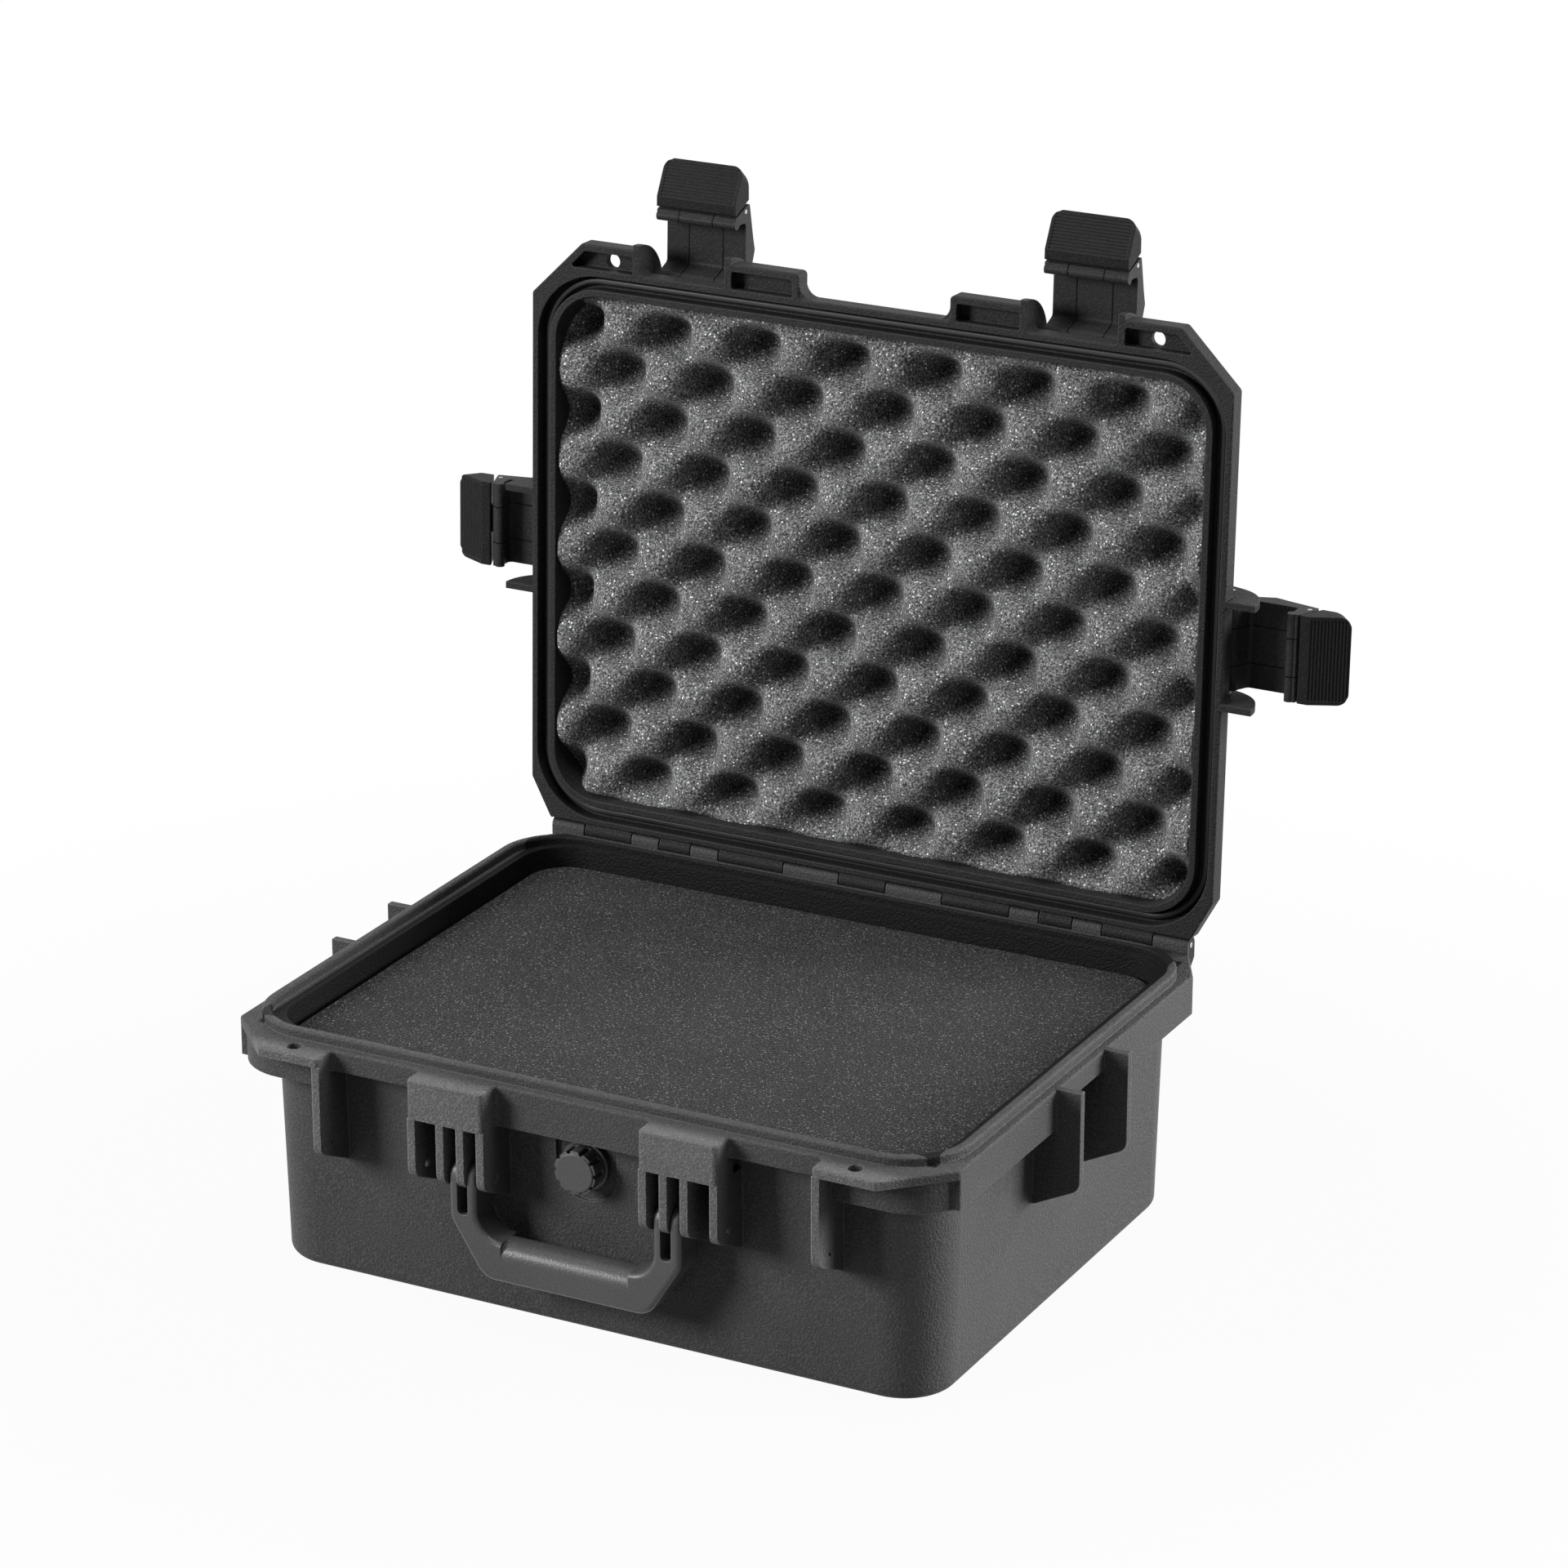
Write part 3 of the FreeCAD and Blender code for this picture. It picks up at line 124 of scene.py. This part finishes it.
class Shader(Nodes):
    """Material with a principled shader, laid out in the object's own metres."""

    def __init__(self, name):
        self.material = bpy.data.materials.new(name)
        super().__init__(self.material)
        self.place = self.add("ShaderNodeTexCoord").outputs["Object"]
        self.main = self.add("ShaderNodeBsdfPrincipled")
        self.link(self.main.outputs["BSDF"], self.add("ShaderNodeOutputMaterial").inputs["Surface"])

    def set(self, name, value):
        self.feed(self.main.inputs[name], value)

    def noise(self, scale, detail=2.0, roughness=0.5, stretch=None):
        node = self.add("ShaderNodeTexNoise")
        for key, value in (("Scale", scale), ("Detail", detail), ("Roughness", roughness)):
            node.inputs[key].default_value = value
        self.link(self.stretched(stretch), node.inputs["Vector"])
        return node.outputs["Fac"]

    def stretched(self, stretch):
        if stretch is None:
            return self.place
        node = self.add("ShaderNodeMapping")
        node.inputs["Scale"].default_value = stretch
        self.link(self.place, node.inputs["Vector"])
        return node.outputs["Vector"]

    def cells(self, scale):
        node = self.add("ShaderNodeTexVoronoi")
        node.inputs["Scale"].default_value = scale
        self.link(self.place, node.inputs["Vector"])
        return node.outputs

    def attribute(self, name):
        return self.add("ShaderNodeAttribute", attribute_name=name).outputs["Fac"]

    def ramp(self, source, stops):
        """Greys that change along a noise, from stops of a position and a level."""
        node = self.add("ShaderNodeValToRGB")
        elements = node.color_ramp.elements
        for position, _ in stops[1:-1]:
            elements.new(position)
        for element, (position, level) in zip(elements, stops):
            element.position = position
            element.color = grey(level)
        self.link(source, node.inputs["Fac"])
        return node.outputs["Color"]

    def tones(self, source, dark, pale):
        return self.ramp(source, [(TONE_START, dark), (TONE_END, pale)])

    def roughness(self, source, least, most):
        self.set("Roughness", self.range(source, ROUGH_START, ROUGH_END, least, most))

    def mix(self, factor, one, two, blend="MIX"):
        node = self.add("ShaderNodeMix", data_type="RGBA", blend_type=blend)
        for index, value in ((MIX_FACTOR, factor), (MIX_ONE, one), (MIX_TWO, two)):
            self.feed(node.inputs[index], value)
        return node.outputs[MIX_RESULT]

    def along(self, spot, direction):
        """How far a point lies along a direction, measured from a spot."""
        offset = self.add("ShaderNodeVectorMath", operation="SUBTRACT")
        offset.inputs[1].default_value = spot
        self.link(self.place, offset.inputs[0])
        product = self.add("ShaderNodeVectorMath", operation="DOT_PRODUCT")
        product.inputs[1].default_value = direction
        self.link(offset.outputs["Vector"], product.inputs[0])
        return product.outputs["Value"]

    def bump(self, height, distance, strength=1.0, normal=None):
        node = self.add("ShaderNodeBump")
        node.inputs["Strength"].default_value = strength
        node.inputs["Distance"].default_value = distance
        self.link(height, node.inputs["Height"])
        if normal is not None:
            self.link(normal, node.inputs["Normal"])
        return node.outputs["Normal"]

    def soft_edges(self, radius):
        node = self.add("ShaderNodeBevel", samples=BEVEL_SAMPLES)
        node.inputs["Radius"].default_value = radius
        return node.outputs["Normal"]

    def painted_edge_highlight(self, radius):
        """Mask of the painted highlight: is 1 along the edges, where a rounded normal leaves the face's own,
        and 0 on the faces.
        """
        product = self.add("ShaderNodeVectorMath", operation="DOT_PRODUCT")
        self.link(self.soft_edges(radius), product.inputs[0])
        self.link(self.add("ShaderNodeNewGeometry").outputs["Normal"], product.inputs[1])
        return self.range(product.outputs["Value"], EDGE_START, EDGE_FULL, 0.0, 1.0)


GREEN_GAIN = 1.005
BLUE_GAIN = 1.02


def grey(level):
    """Grey with a faint cold tint."""
    return (level, level * GREEN_GAIN, level * BLUE_GAIN, 1.0)


# Black plastic

CLOUD_SCALE = 14.0
CLOUD_DETAIL = 3.0
CLOUD_CONTRAST = 0.15
GRAIN_DETAIL = 3.0
GRAIN_ROUGHNESS = 0.6
SPECK_START, SPECK_FULL = 0.48, 0.66
SPECK_GAIN = 1.7
PEBBLE_SCALE = 0.75
PEBBLE_HEIGHT = -0.6
ROUGH_BELOW, ROUGH_ABOVE = 0.05, 0.07

# Two mould seams run along each latch arm, this far from its middle
SEAM_PLACE = 0.0102
SEAM_WIDTH = 0.0008
SEAM_SHARE = 0.15

# Edges get a painted highlight, and the faces of the base within a reach of its foremost point get painted
# light
EDGE_HIGHLIGHT_GAIN = 3.2
LIT_FRONT_REACH = 0.0129
LIT_FRONT_LINE = -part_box("base_shell")[0].y - LIT_FRONT_REACH
LIT_FRONT_FADE = 0.008
LIT_FRONT_GAIN = 1.9

# Painted shade keeps the inside of the base deep black: past the foam to just behind the faces of the walls,
# and from a little below the foam's top upwards
INSIDE_PAST_WIDTH = 0.0076
INSIDE_PAST_DEPTH = 0.0065
INSIDE_BELOW_TOP = 0.0076
foam_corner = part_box("base_foam_upper")[1]
INSIDE_HALVES = (foam_corner.x + INSIDE_PAST_WIDTH, foam_corner.y + INSIDE_PAST_DEPTH)
INSIDE_FROM = foam_corner.z - INSIDE_BELOW_TOP
INSIDE_FADE = 0.0008
INSIDE_SHADE_SHARE = 0.2

# Painted shade also darkens the hinge, which starts a little in front of its pin
HINGE_REACH = 0.0036
HINGE_LINE = joints["lid_hinge"]["pos_m"][1] - HINGE_REACH
HINGE_SHADE_SHARE = 0.35


def painted_light_front(shader, colour):
    """Paints light on the foremost faces of the base, making them paler."""
    reach = shader.along(ORIGIN, FRONT)
    painted_light = shader.range(reach, LIT_FRONT_LINE, LIT_FRONT_LINE + LIT_FRONT_FADE, 1.0, LIT_FRONT_GAIN)
    return shader.mix(1.0, colour, painted_light, "MULTIPLY")


def painted_shade_inside(shader, colour, level):
    """Paints shade over the inside and the hinge of the base, keeping them deep black."""
    above = shader.along((0.0, 0.0, INSIDE_FROM), UP)
    within = shader.range(above, 0.0, INSIDE_FADE, 0.0, 1.0)
    for direction, half in zip((RIGHT, BACK), INSIDE_HALVES):
        reach = shader.maths("ABSOLUTE", shader.along(ORIGIN, direction))
        within = shader.maths("MULTIPLY", shader.range(reach, half, half + INSIDE_FADE, 1.0, 0.0), within)
    colour = shader.mix(within, colour, grey(level * INSIDE_SHADE_SHARE))
    behind = shader.along((0.0, HINGE_LINE, 0.0), BACK)
    at_hinge = shader.range(behind, 0.0, INSIDE_FADE, 0.0, 1.0)
    return shader.mix(at_hinge, colour, grey(level * HINGE_SHADE_SHARE))


def latch_seams(shader, joint):
    """Is 1 in the two mould seams of a latch arm, and 0 beside them."""
    across = shader.maths("ABSOLUTE", shader.along(joint["pos_m"], joint["axis"]))
    distance = shader.maths("ABSOLUTE", shader.maths("SUBTRACT", across, SEAM_PLACE))
    return shader.range(distance, SEAM_WIDTH / 4, SEAM_WIDTH / 2, 1.0, 0.0)


def plastic(name, level, grain, grain_depth, roughness, edge, gloss, is_base=False, seam_joint=None):
    """Moulded plastic with a pebbled grain, a faintly cloudy tone and rounded edges with a painted
    highlight.
    """
    shader = Shader(name)
    clouds = shader.noise(CLOUD_SCALE, CLOUD_DETAIL)
    fine = shader.noise(grain, GRAIN_DETAIL, GRAIN_ROUGHNESS)
    colour = shader.tones(clouds, level * (1 - CLOUD_CONTRAST), level * (1 + CLOUD_CONTRAST))
    speck = shader.range(fine, SPECK_START, SPECK_FULL, 0.0, 1.0)
    colour = shader.mix(speck, colour, grey(level * SPECK_GAIN))
    # Painted highlight along the edges
    colour = shader.mix(shader.painted_edge_highlight(edge), colour, grey(level * EDGE_HIGHLIGHT_GAIN))
    if is_base:
        # Painted light on the foremost faces of the base, then painted shade over its inside and its hinge
        colour = painted_shade_inside(shader, painted_light_front(shader, colour), level)
    pebbles = shader.maths("MULTIPLY", shader.cells(grain * PEBBLE_SCALE)["Distance"], PEBBLE_HEIGHT)
    normal = shader.bump(shader.maths("ADD", pebbles, fine), grain_depth, normal=shader.soft_edges(edge))
    if seam_joint is not None:
        seam = latch_seams(shader, seam_joint)
        colour = shader.mix(seam, colour, grey(level * SEAM_SHARE))
        normal = shader.bump(shader.maths("SUBTRACT", 1.0, seam), SEAM_WIDTH / 2, normal=normal)
    shader.set("Base Color", colour)
    shader.roughness(clouds, roughness - ROUGH_BELOW, roughness + ROUGH_ABOVE)
    shader.set("Specular IOR Level", gloss)
    shader.set("Normal", normal)
    return shader.material


def arm_plastic(name):
    """Plastic of one latch arm, whose seams lie beside the middle of its own joint."""
    side = name.removeprefix("latch_arm_")
    return plastic(f"{name}_plastic", level=0.020, grain=900.0, grain_depth=0.00015, roughness=0.42,
                   edge=0.0008, gloss=0.05, seam_joint=joints[f"latch_{side}_swing"])


# Foam, rubber and steel

# Greys of the foam along a fine noise, as shares of its level
FOAM_GRAIN = 900.0
FOAM_GRAIN_DETAIL = 4.0
FOAM_GRAIN_ROUGHNESS = 0.7
FOAM_GREYS = ((0.38, 0.2), (0.5, 0.8), (0.62, 2.4))
FOAM_CLOUD_SCALE = 30.0
FOAM_CLOUD_CONTRAST = 0.1

# Some cells are chosen by their random colour, and are pale near their middle
CHOSEN_START, CHOSEN_FULL = 0.66, 0.76
PALE_FULL, PALE_END = 0.18, 0.36
# Pits get painted shade from this depth down
PIT_SHADE_START = 0.5

FOAM_ROUGHNESS = 0.95
FOAM_GLOSS = 0.03
FOAM_SHEEN = 0.03
FOAM_RELIEF = 0.0006
FOAM_RELIEF_STRENGTH = 0.8


def foam(name, level, speck_level, painted_pit_shade, cell_scale):
    """Open-cell charcoal foam: dark pores, scattered pale cell walls, and painted shade down in its pits."""
    shader = Shader(name)
    pores = shader.cells(cell_scale)
    fine = shader.noise(FOAM_GRAIN, FOAM_GRAIN_DETAIL, FOAM_GRAIN_ROUGHNESS)
    body = shader.ramp(fine, [(position, level * share) for position, share in FOAM_GREYS])
    clouds = shader.range(shader.noise(FOAM_CLOUD_SCALE), TONE_START, TONE_END,
                          1 - FOAM_CLOUD_CONTRAST, 1 + FOAM_CLOUD_CONTRAST)
    body = shader.mix(1.0, body, clouds, "MULTIPLY")
    chosen = shader.range(pores["Color"], CHOSEN_START, CHOSEN_FULL, 0.0, 1.0)
    near = shader.range(pores["Distance"], PALE_FULL, PALE_END, 1.0, 0.0)
    body = shader.mix(shader.maths("MULTIPLY", chosen, near), body, grey(speck_level))
    # Painted shade, darker the deeper the face lies in a pit
    shade = shader.range(shader.attribute("pit_depth"), PIT_SHADE_START, 1.0, 1.0, painted_pit_shade)
    shader.set("Base Color", shader.mix(1.0, body, shade, "MULTIPLY"))
    shader.set("Roughness", FOAM_ROUGHNESS)
    shader.set("Specular IOR Level", FOAM_GLOSS)
    shader.set("Sheen Weight", FOAM_SHEEN)
    relief = shader.maths("ADD", pores["Distance"], fine)
    shader.set("Normal", shader.bump(relief, FOAM_RELIEF, FOAM_RELIEF_STRENGTH))
    return shader.material


def rubber(name):
    """Black rubber of the seals, a little smoother in places."""
    shader = Shader(name)
    clouds = shader.noise(scale=40.0)
    shader.set("Base Color", shader.tones(clouds, dark=0.010, pale=0.016))
    shader.roughness(clouds, least=0.42, most=0.55)
    shader.set("Specular IOR Level", 0.3)
    shader.set("Normal", shader.bump(shader.noise(scale=1500.0), distance=0.00005))
    return shader.material


def steel(name):
    """Steel of the pins, with streaks along X."""
    shader = Shader(name)
    streaks = shader.noise(scale=220.0, stretch=(0.05, 1.0, 1.0))
    shader.set("Base Color", shader.tones(streaks, dark=0.36, pale=0.52))
    shader.set("Metallic", 1.0)
    shader.roughness(streaks, least=0.24, most=0.4)
    return shader.material


# Materials of the CAD nodes

BASE_SHELL = plastic("base_plastic", level=0.045, grain=1000.0, grain_depth=0.0005, roughness=0.42,
                     edge=0.0010, gloss=0.06, is_base=True)
# The lid is the same plastic as the base, set at a darker level as painted shade
LID_SHELL = plastic("lid_plastic", level=0.020, grain=1000.0, grain_depth=0.0004, roughness=0.42,
                    edge=0.0010, gloss=0.04)
SMOOTH = plastic("handle_plastic", level=0.045, grain=1300.0, grain_depth=0.00008, roughness=0.33,
                 edge=0.0008, gloss=0.3)
LATCH = plastic("latch_plastic", level=0.012, grain=900.0, grain_depth=0.00015, roughness=0.42,
                edge=0.0008, gloss=0.03)
RUBBER = rubber("seal_rubber")
STEEL = steel("pin_steel")
BASE_FOAM = foam("base_foam", level=0.027, speck_level=0.26, painted_pit_shade=1.0, cell_scale=820.0)
LID_FOAM = foam("lid_foam", level=0.135, speck_level=0.90, painted_pit_shade=0.2, cell_scale=560.0)


def finish_of(name):
    """Material of a CAD node, told by its name."""
    if name == "base_shell":
        return BASE_SHELL
    if name == "lid_shell":
        return LID_SHELL
    if "seal" in name:
        return RUBBER
    if "pin" in name or "spring" in name:
        return STEEL
    if "foam" in name:
        return BASE_FOAM
    if name.startswith("latch_arm"):
        return arm_plastic(name)
    return LATCH if name.startswith("release") else SMOOTH


for node_name, item in nodes.items():
    item.data.materials.clear()
    item.data.materials.append(finish_of(node_name))


# Foam pieces, which stand for the plain foam solids

def mesh_of(shape, name):
    mesh = bpy.data.meshes.new(name)
    shape.to_mesh(mesh)
    shape.free()
    return mesh


def new_piece(name, mesh, material, body, node):
    """Object that rides on a body and stands for a CAD foam solid."""
    piece = add_object(name, mesh)
    mesh.materials.append(material)
    for polygon in mesh.polygons:
        polygon.use_smooth = True
    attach(piece, body)
    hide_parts(node)
    return piece


def bridge(shape, one, two):
    """Faces between two closed rings of points."""
    count = len(one)
    for index in range(count):
        after = (index + 1) % count
        shape.faces.new((one[index], one[after], two[after], two[index]))


def moved_in(point, centre, distance, height):
    """Point at a height, moved in plan towards a centre."""
    inward = Vector((centre.x - point.x, centre.y - point.y, 0)).normalized() * distance
    return point.x + inward.x, point.y + inward.y, height


# Base foam: three cut blocks with slightly rounded edges, whose tops are a little uneven

FOAM_CORNER = 0.022
CORNER_STEPS = 10
FOAM_EDGE = 0.0012
EDGE_BEND = 0.3
TOP_SAG = 0.0004
HIDDEN_SAG = 0.0002
SAG_WAVES = 18
SAG_LAYER = 3.0

# Rings in the face at each end of a block, as shares of its outline
FACE_RINGS = (0.94, 0.8, 0.6, 0.4, 0.2)


def corner_path(low, high, radius):
    """Points round a rectangle with rounded corners, anticlockwise."""
    points = []
    centres = ((high.x - radius, low.y + radius, -90), (high.x - radius, high.y - radius, 0),
               (low.x + radius, high.y - radius, 90), (low.x + radius, low.y + radius, 180))
    for x, y, start in centres:
        for step in range(CORNER_STEPS + 1):
            angle = math.radians(start + 90 * step / CORNER_STEPS)
            points.append(Vector((x + radius * math.cos(angle), y + radius * math.sin(angle), 0)))
    return points


def close_block(shape, ring, centre, upward, sag):
    """Closes one end of a block with smaller and smaller rings, which dip and rise within the sag."""
    outer = ring
    for share in FACE_RINGS:
        inner = []
        for vert in ring:
            spot = centre.lerp(vert.co, share)
            wave = noise.noise(Vector((spot.x * SAG_WAVES, spot.y * SAG_WAVES, SAG_LAYER)))
            inner.append(shape.verts.new((spot.x, spot.y, vert.co.z + (wave - 1) * sag)))
        if upward:
            bridge(shape, outer, inner)
        else:
            bridge(shape, inner, outer)
        outer = inner
    shape.faces.new(outer if upward else outer[::-1])


def foam_block(name, node, sag):
    """Block from rings of points, narrower at its two cut edges."""
    low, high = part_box(node)
    centre = (low + high) / 2
    bend = FOAM_EDGE * EDGE_BEND
    rounding = [(FOAM_EDGE, 0.0), (bend, bend), (0.0, FOAM_EDGE)]
    levels = [(inset, low.z + rise) for inset, rise in rounding]
    levels += [(inset, high.z - rise) for inset, rise in reversed(rounding)]
    outline = corner_path(low, high, FOAM_CORNER)
    shape = bmesh.new()
    rings = []
    for inset, height in levels:
        rings.append([shape.verts.new(moved_in(point, centre, inset, height)) for point in outline])
    for one, two in zip(rings, rings[1:]):
        bridge(shape, one, two)
    close_block(shape, rings[0], centre, upward=False, sag=0.0)
    close_block(shape, rings[-1], centre, upward=True, sag=sag)
    piece = new_piece(name, mesh_of(shape, name), BASE_FOAM, "base", node)


foam_block("foam_upper", "base_foam_upper", TOP_SAG)
foam_block("foam_lower", "base_foam_lower", HIDDEN_SAG)
foam_block("foam_floor_pad", "base_foam_pad", HIDDEN_SAG)


# Egg-crate foam in the lid: pits and peaks take turns, in lines that lean a little

CRATE_PITCH_X = 0.02675
CRATE_PITCH_Y = 0.0253
CRATE_SHIFT_RIGHT = 0.0024
CRATE_SHIFT_FRONT = 0.0009
CRATE_LEAN = 0.0368
CRATE_DEPTH = 0.0275
CRATE_SHARPNESS = 1.4
CRATE_SQUARENESS = 0.85
CRATE_BORDER = 0.014
CRATE_BORDER_SHARE = 0.55
CRATE_CORNER = 0.026
CRATE_TAPER = 0.004
CRATE_COLUMNS = 168
CRATE_ROWS = 126
CRATE_WOBBLE = 0.0004
WOBBLE_WAVES = 60
WOBBLE_LAYER = 1.0
SAME_PLACE = 1e-6


def lid_frame():
    """Turns points of the shut lid to where the open lid has them."""
    hinge = joints["lid_hinge"]
    pivot = Vector(hinge["pos_m"])
    turn = Matrix.Rotation(-math.radians(hinge["range_deg"][1]), 4, Vector(hinge["axis"]))
    return Matrix.Translation(pivot) @ turn @ Matrix.Translation(-pivot)


def box_in(node, placing):
    """Low and high corner of a node's box, after a placing."""
    points = [placing @ vert.co for vert in nodes[node].data.vertices]
    return [Vector([pick(point[axis] for point in points) for axis in range(3)]) for pick in (min, max)]


def pit_share(x, y):
    """How deep the foam's face lies at a point, from 0 on a peak to 1 in a pit."""
    y += CRATE_SHIFT_FRONT
    x += CRATE_LEAN * y - CRATE_SHIFT_RIGHT
    wave = math.cos(math.pi * x / CRATE_PITCH_X) * math.cos(math.pi * y / CRATE_PITCH_Y)
    wave = math.copysign(abs(wave) ** CRATE_SQUARENESS, wave)
    return ((wave + 1) / 2) ** CRATE_SHARPNESS


def border_share(x, y, low, high):
    """Makes the pits shallower along the slab's border, where the lid presses the foam."""
    room = min(x - low.x, high.x - x, y - low.y, high.y - y)
    step = min(max(room / CRATE_BORDER, 0.0), 1.0)
    return CRATE_BORDER_SHARE + (1 - CRATE_BORDER_SHARE) * step * step * (3 - 2 * step)


def within_corners(x, y, low, high):
    """Moves a grid point in where the slab's corners are rounded."""
    middle = (low + high) / 2
    past_x = max(abs(x - middle.x) - (high.x - middle.x - CRATE_CORNER), 0.0)
    past_y = max(abs(y - middle.y) - (high.y - middle.y - CRATE_CORNER), 0.0)
    reach = math.hypot(past_x, past_y)
    shrink = max(1 - CRATE_CORNER / reach, 0.0) if reach else 0.0
    return x - math.copysign(past_x * shrink, x - middle.x), y - math.copysign(past_y * shrink, y - middle.y)


def crate_face(shape, low, high):
    """Grid of points over the wavy face, column by column."""
    depth_layer = shape.verts.layers.float.new("pit_depth")
    size = high - low
    grid = []
    for column in range(CRATE_COLUMNS + 1):
        line = []
        for row in range(CRATE_ROWS + 1):
            x, y = within_corners(low.x + size.x * column / CRATE_COLUMNS,
                                  low.y + size.y * row / CRATE_ROWS, low, high)
            share = pit_share(x, y) * border_share(x, y, low, high)
            wobble = 1 + noise.noise(Vector((x * WOBBLE_WAVES, y * WOBBLE_WAVES, WOBBLE_LAYER)))
            vert = shape.verts.new((x, y, low.z + share * CRATE_DEPTH + wobble * CRATE_WOBBLE))
            vert[depth_layer] = share
            line.append(vert)
        grid.append(line)
    for one, two in zip(grid, grid[1:]):
        for row in range(CRATE_ROWS):
            shape.faces.new((one[row], one[row + 1], two[row + 1], two[row]))
    return grid


def egg_crate(name, node):
    """Slab with a staggered grid of rounded pits, made in the shut lid and then swung open."""
    opened = lid_frame()
    low, high = box_in(node, opened.inverted())
    middle = (low + high) / 2
    shape = bmesh.new()
    grid = crate_face(shape, low, high)
    rim = [line[0] for line in grid[:-1]] + grid[-1][:-1]
    rim += [line[-1] for line in grid[:0:-1]] + grid[0][:0:-1]
    back = [shape.verts.new(moved_in(vert.co, middle, CRATE_TAPER, high.z)) for vert in rim]
    bridge(shape, rim, back)
    shape.faces.new(back)
    bmesh.ops.remove_doubles(shape, verts=shape.verts, dist=SAME_PLACE)
    bmesh.ops.recalc_face_normals(shape, faces=shape.faces)
    bmesh.ops.transform(shape, matrix=opened, verts=shape.verts)
    piece = new_piece(name, mesh_of(shape, name), LID_FOAM, "lid", node)


egg_crate("egg_crate_foam", "lid_foam")


# Stage: white floor that keeps the shadow, white surroundings, soft lights

AMBIENT = 0.05
FLOOR_HALF = 30.0
FLOOR_TONE = 0.25

# The floor glows with this share near the case, and wholly from further off
FLOOR_GLOW_SHARE = 0.95
FLOOR_NEAR = 0.35
FLOOR_FAR = 0.75

# Place, size and power of each square lamp
LIGHT_TARGET = (0.0, 0.0, 0.2)
LIGHTS = {
    "key_left": ((-2.0, -2.15, 1.4), 1.1, 132.0),
    "low_right": ((2.45, 1.4, 0.8), 1.2, 170.0),
    "top": ((0.1, 0.0, 2.9), 1.8, 75.0),
}

# Camera fitted to the photograph's perspective
SENSOR_WIDTH = 36.0
LENS = 130.29
EYE_PLACE = (1.2855, -2.3790, 1.2680)
EYE_DIRECTION = (-0.4355, 0.8278, -0.3535)
FAR_CLIP = 100.0


def seen_directly(tree):
    """Is 1 for what the camera sees, straight or in a mirror or glass, and 0 for what lights the scene."""
    rays = tree.add("ShaderNodeLightPath").outputs
    seen = rays["Is Camera Ray"]
    for kind in ("Is Glossy Ray", "Is Transmission Ray"):
        seen = tree.maths("MAXIMUM", seen, rays[kind])
    return seen


def mix_surfaces(tree, share, one, two, output):
    """Ends a tree in a mix of two shaders, with a share of the second."""
    mix = tree.add("ShaderNodeMixShader")
    for socket, source in zip(mix.inputs, (share, one, two)):
        tree.link(source, socket)
    tree.link(mix.outputs[0], tree.add(output).inputs["Surface"])


def even_glow(tree, kind, strength):
    node = tree.add(kind)
    node.inputs["Color"].default_value = WHITE
    node.inputs["Strength"].default_value = strength
    return node.outputs[0]


def build_world():
    """Surroundings, white to look at and far softer as a light."""
    scene.world = bpy.data.worlds.new("studio")
    tree = Nodes(scene.world)
    soft, white = (even_glow(tree, "ShaderNodeBackground", strength) for strength in (AMBIENT, 1.0))
    mix_surfaces(tree, seen_directly(tree), soft, white, "ShaderNodeOutputWorld")


def floor_white():
    """White where the camera sees it, with a faint shadow round the case and none far off."""
    material = bpy.data.materials.new("floor_white")
    tree = Nodes(material)
    diffuse = tree.add("ShaderNodeBsdfDiffuse")
    diffuse.inputs["Color"].default_value = (FLOOR_TONE, FLOOR_TONE, FLOOR_TONE, 1.0)
    glow = even_glow(tree, "ShaderNodeEmission", 1.0)
    reach = tree.add("ShaderNodeVectorMath", operation="LENGTH")
    tree.link(tree.add("ShaderNodeTexCoord").outputs["Object"], reach.inputs[0])
    whiter = tree.range(reach.outputs["Value"], FLOOR_NEAR, FLOOR_FAR, FLOOR_GLOW_SHARE, 1.0)
    share = tree.maths("MULTIPLY", seen_directly(tree), whiter)
    mix_surfaces(tree, share, diffuse.outputs[0], glow, "ShaderNodeOutputMaterial")
    return material


def build_floor():
    mesh = bpy.data.meshes.new("floor")
    corners = [(x * FLOOR_HALF, y * FLOOR_HALF, 0) for x, y in ((-1, -1), (1, -1), (1, 1), (-1, 1))]
    mesh.from_pydata(corners, [], [(0, 1, 2, 3)])
    mesh.materials.append(floor_white())
    floor = add_object("floor", mesh)


def area_light(name, place, size, power):
    light = bpy.data.lights.new(name, "AREA")
    light.size = size
    light.energy = power
    lamp = add_object(name, light)
    lamp.location = place
    aim(lamp, Vector(LIGHT_TARGET) - Vector(place))


def build_camera():
    camera = bpy.data.cameras.new("photo_camera")
    camera.sensor_fit = "HORIZONTAL"
    camera.sensor_width = SENSOR_WIDTH
    camera.lens = LENS
    camera.clip_end = FAR_CLIP
    eye = add_object("photo_camera", camera)
    eye.location = EYE_PLACE
    aim(eye, EYE_DIRECTION)
    scene.camera = eye


build_world()
build_floor()
for light_name, settings in LIGHTS.items():
    area_light(light_name, *settings)
build_camera()
scene.view_settings.view_transform = "Standard"
